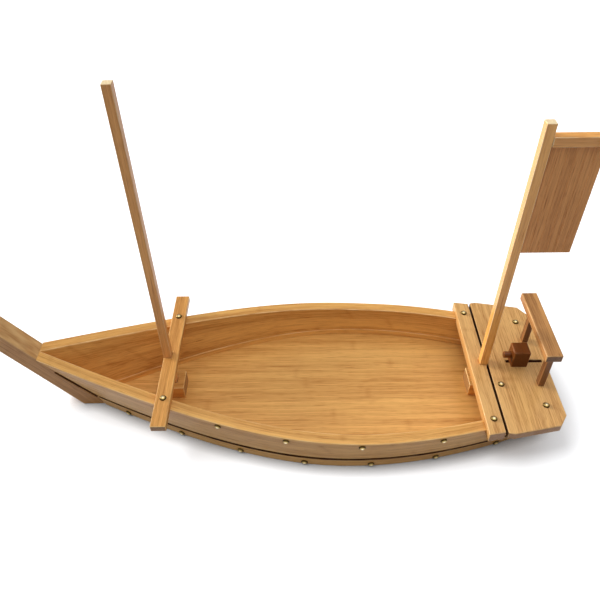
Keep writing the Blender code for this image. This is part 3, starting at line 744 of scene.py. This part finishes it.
def straight_plank(section, lengths, radius):
    """A plank one metre long through (depth, height) points, its long edges rounded."""
    bm = bmesh.new()
    face = bm.faces.new([bm.verts.new((0, depth, height)) for depth, height in section])
    swept = bmesh.ops.extrude_face_region(bm, geom=[face])["geom"]
    far_end = [part for part in swept if isinstance(part, bmesh.types.BMVert)]
    bmesh.ops.translate(bm, vec=(1, 0, 0), verts=far_end)
    bmesh.ops.recalc_face_normals(bm, faces=bm.faces)
    arris = mark_faces(bm, "arris")
    round_off(bm, lengthwise(bm), radius, arris)
    bmesh.ops.subdivide_edges(bm, edges=lengthwise(bm), cuts=lengths - 1, use_grid_fill=True)
    return bm


# %% Bend the plank round the hull
LENGTHS = 90    # short lengths in a plank
STEP = 1e-5     # half the run of the step at the end of a seat


def plank_start(z):
    """Station where the end of a plank starts at the height z."""
    return stem_line(z) + GAP / math.sin(STEM_RAKE)


def bend_strake(node, side, section, top, radius, in_the_dark):
    """Bend a straight plank onto the hull, and show it for its CAD solid."""
    height = max(z for depth, z in section)
    low = min(z for depth, z in section)
    bow = plank_start(top(-BOW_REACH))
    reach = STERN_REACH - bow
    steps = [x for front, aft, z in seats for x in (front, aft) if x < STERN_REACH]
    walls = [(x + nudge - bow) / reach for x in steps for nudge in (-STEP, STEP)]
    shares = sorted([i / LENGTHS for i in range(LENGTHS + 1)] + walls)
    stations = [bow + share * reach for share in shares]
    outline = [Vector((x, half_beam(x, HULL_DEPTH))) for x in stations]
    lengths = np.cumsum([0] + [(b - a).length for a, b in zip(outline, outline[1:])])
    bm = straight_plank(section, len(shares) - 1, radius)
    grain = bm.verts.layers.float_vector.new("grain")
    crevice = bm.verts.layers.float.new("crevice")
    for vert in bm.verts:
        ring = round(vert.co.x * (len(shares) - 1))
        depth, flat_z = vert.co.y, vert.co.z
        vert[crevice] = float(in_the_dark(depth, flat_z))
        upper_half = flat_z > (low + height) / 2
        start = plank_start(top(-BOW_REACH) if upper_half else low)
        x = start + (STERN_REACH - start) * shares[ring]
        z = top(x) - height + flat_z if upper_half else flat_z
        vert.co = (x, side * inside(x, z, depth), z)
        vert[grain] = Vector((lengths[ring], flat_z, depth)) + own_stretch()
    bmesh.ops.recalc_face_normals(bm, faces=bm.faces)
    mark_faces(bm, "end", lambda face: abs(face.normal.x) > 0.7)
    shade_round(bm, bm.faces.layers.float["arris"])
    piece = show(node + "_bent", bm, "hull_bamboo", node)
    print(f"{piece.name}: {len(piece.data.polygons)} faces, {lengths[-1] * 1000:.0f} mm long")


# %% Bend the four strakes
THICK, FACE, GROOVE = 0.020, 0.0005, 0.007  # depths below the hull's outer face
LEDGE, RIDGE = 0.0205, 0.0267               # heights of the lower strake's two top edges
SHADE_AND_GRIME_DEPTH = 0.015                               # how deep the painted shade and grime reach into the seam
upper_section = [(0, SEAM), (0, HULL_DEPTH), (THICK, HULL_DEPTH), (THICK, SEAM)]
lower_section = [(FACE, 0), (FACE, LEDGE), (GROOVE, LEDGE), (GROOVE, RIDGE),
                 (THICK, RIDGE), (THICK, 0)]
# The seam between the strakes is painted near black: painted shade and grime.
for word, side in (("port", -1), ("starboard", 1)):
    bend_strake("upper_strake_" + word, side, upper_section, gunwale, 0.0014,
                lambda depth, z: z < SEAM + 0.0008 and depth < SHADE_AND_GRIME_DEPTH)
    bend_strake("lower_strake_" + word, side, lower_section, lambda x: RIDGE, 0.0012,
                lambda depth, z: z > LEDGE - 0.0007 and depth < SHADE_AND_GRIME_DEPTH)

# %% [markdown]
# ## Boards across the hull
# The thwart holds the mast in a notch, the stern plank holds the flagpole in another, and the deck
# covers the stern. A rail on two legs stands on the deck. These boards lie across the boat and so
# does their grain; only the legs stand upright. The deck is a wide panel and shows the liveliest
# figure. The walls of the gap between the plank and the deck, and of the slot down the middle of
# the deck, are marked as crevices and painted near black, as painted shade and grime.

# %% Ease the cross boards, the deck and the gate
plank_aft, deck_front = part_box("stern_plank")[1].x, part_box("stern_deck")[0].x
SLOT_HALF = 0.0030
eased_board("thwart", "cross_bamboo", (0, 1, 0), 0.0011)
# The walls of the gap and of the slot are painted dark: painted shade and grime.
eased_board("stern_plank", "cross_bamboo", (0, 1, 0), 0.0012, "deck_bamboo",
            in_the_dark=lambda spot: spot.x > plank_aft - 0.0003)
eased_board("stern_deck", "deck_bamboo", (0, 1, 0), 0.0016,
            in_the_dark=lambda spot: spot.x < deck_front + 0.0004 or abs(spot.y) < SLOT_HALF)
eased_board("gate_rail", "cross_bamboo", (0, 1, 0), 0.0016, "gate_bamboo")
# The legs take the darker wood: painted shade.
eased_board("gate_leg_port", "cross_bamboo", (0, 0, 1), 0.0008, "leg_bamboo_shaded")
eased_board("gate_leg_starboard", "cross_bamboo", (0, 0, 1), 0.0008, "leg_bamboo_shaded")

# %% [markdown]
# ## Mast, flagpole and batten
# The spars are square sticks, planed along their length. The mast lifts out of the boat, and so
# does the pole with its batten and its flag, so each rides on its own body. They could be drawn as
# plain boxes, but their solids have the right lengths already.

# %% Ease the spars
eased_board("mast", "spar_bamboo", (0, 0, 1), 0.0009, "mast_bamboo")
eased_board("flagpole", "spar_bamboo", (0, 0, 1), 0.0009)
eased_board("flag_batten", "spar_bamboo", (1, 0, 0), 0.0008)

# %% [markdown]
# ## The flag
# The flag is a stiff board, pieced from six upright strips of bamboo. The joints between them show
# as fine grooves. The board starts as a cube with rounded edges. Three cuts with `bisect_plane` at
# each joint make a narrow band, and pulling its middle line inwards turns the band into a groove on
# both faces.

# %% Piece the flag from strips
STRIPS, GROOVE_HALF, GROOVE_FLOOR = 6, 0.0005, 0.82
low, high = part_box("flag_board")
size, centre = high - low, (low + high) / 2
flag = bmesh.new()
bmesh.ops.create_cube(flag, size=1, matrix=Matrix.Translation(centre) @ Matrix.Diagonal((*size, 1)))
ease_edges(flag, 0.0007)
for joint in range(1, STRIPS):
    at_x = low.x + size.x * joint / STRIPS
    for nudge in (-GROOVE_HALF, 0, GROOVE_HALF):
        bmesh.ops.bisect_plane(flag, geom=flag.verts[:] + flag.edges[:] + flag.faces[:], dist=1e-7,
                               plane_co=(at_x + nudge, 0, 0), plane_no=(1, 0, 0))
    line = [vert for vert in flag.verts if abs(vert.co.x - at_x) < 1e-6]
    bmesh.ops.scale(flag, vec=(1, GROOVE_FLOOR, 1), verts=line)
for edge in flag.edges:
    edge.smooth = edge.smooth and edge.calc_face_angle(0) < math.radians(25)
lay_grain(flag, (0, 0, 1))
flag_piece = show("flag_board_pieced", flag, "flag_bamboo", "flag_board")
print("flag:", STRIPS, "strips,", round(size.x * 1000 / STRIPS, 1), "mm wide,",
      len(flag_piece.data.polygons), "faces")

# %% [markdown]
# ## The lock
# A stained block slides along a slot in the deck until its round peg bears on the flagpole, and a
# key under it holds it to the deck. The part of the block that runs in the slot keeps its square
# edges. The peg is turned on a lathe, so it is a cylinder with rounded ends instead of a copy.

# %% Ease the block and its key
deck_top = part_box("stern_deck")[1].z
eased_board("lock_block", "stained_bamboo", (0, 1, 0), 0.0017, above=deck_top + 0.001)
eased_board("lock_key", "stained_bamboo", (1, 0, 0), 0.0003)

# %% Turn the peg
low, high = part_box("lock_peg")
radius = (high.z - low.z) / 2
lie_down = Matrix.Translation((low + high) / 2) @ Matrix.Rotation(math.radians(90), 4, 'Y')
peg = bmesh.new()
bmesh.ops.create_cone(peg, cap_ends=True, segments=40, radius1=radius, radius2=radius,
                      depth=high.x - low.x, matrix=lie_down)
arris = mark_faces(peg, "arris")
rims = [edge for edge in peg.edges if edge.calc_face_angle(0) > math.radians(60)]
round_off(peg, rims, 0.0012, arris)
for face in peg.faces:
    face.smooth = len(face.verts) == 4
lay_grain(peg, (1, 0, 0))
peg_piece = show("lock_peg_turned", peg, "stained_bamboo", "lock_peg")
print("peg:", len(peg_piece.data.polygons), "faces")

# %% [markdown]
# ## The nails
# Dome-headed brass nails hold the planks. A nail is round, so half its outline is drawn once and
# spun about its axis. The outline has a thin brim under the dome, which keeps a dark line round
# every head. Each CAD nail shows where its nail goes: its crown and its point are the two vertices
# that lie farthest apart.

# %% Find the axis of a nail
def nail_axis(node):
    """The crown and the point of a CAD nail."""
    spots = np.array([vert.co for vert in frame["nodes"][node].data.vertices])
    apart = np.linalg.norm(spots[:, None] - spots[None], axis=2)
    ends = [Vector(spots[i]) for i in np.unravel_index(apart.argmax(), apart.shape)]
    middle = Vector(spots.mean(axis=0))
    return sorted(ends, key=lambda end: (end - middle).length)


# %% Draw the head of a nail
CROWN = 0.0035                       # from the seat of the head up to the crown of a CAD nail
DOME, BRIM, HEAD = 0.0052, 0.0053, 0.0057  # radii of the dome, its dark brim and the whole head
SHANK, TAPER = 0.00125, 0.0025       # radius of the shank, and length of its point
LIFT, RISE = 0.0006, 0.0034          # heights where the dome starts and ends
dome = [(DOME * math.sin(angle), LIFT + (RISE - LIFT) * math.cos(angle))
        for angle in np.linspace(0, math.pi / 2, 9)]
brim = [(BRIM, 0.0004), (HEAD - 0.0001, 0.0005), (HEAD, 0.0002), (HEAD - 0.0001, 0)]
print("nail head:", len(dome + brim), "points")


# %% Spin the nails
def spun_nail(node):
    """A brass nail in place of a CAD nail, from its crown down to its point."""
    crown, tip = nail_axis(node)
    length = (crown - tip).length - CROWN
    outline = dome + brim + [(SHANK, 0), (SHANK, TAPER - length), (0, -length)]
    bm = bmesh.new()
    verts = [bm.verts.new((radius, 0, height)) for radius, height in outline]
    edges = [bm.edges.new(pair) for pair in zip(verts, verts[1:])]
    bmesh.ops.spin(bm, geom=verts + edges, cent=(0, 0, 0), axis=(0, 0, 1), angle=math.tau,
                   steps=32, use_merge=True)
    bmesh.ops.remove_doubles(bm, verts=bm.verts, dist=1e-6)
    bmesh.ops.recalc_face_normals(bm, faces=bm.faces)
    rim = bm.verts.layers.float.new("rim")
    for vert in bm.verts:
        vert[rim] = min(1.0, vert.co.xy.length / BRIM) if vert.co.z > 0 else 1.0
    for edge in bm.edges:
        edge.smooth = edge.calc_face_angle(0) < math.radians(40)
    for face in bm.faces:
        face.smooth = True
    upright = (crown - tip).to_track_quat('Z', 'Y').to_matrix().to_4x4()
    seat = crown - (crown - tip).normalized() * CROWN
    bmesh.ops.transform(bm, matrix=Matrix.Translation(seat) @ upright, verts=bm.verts)
    return show(node + "_spun", bm, "brass", node)


nails = [spun_nail(node) for node in sorted(frame["nodes"]) if "nail" in node]
print(len(nails), "nails,", len(nails[0].data.polygons), "faces each")
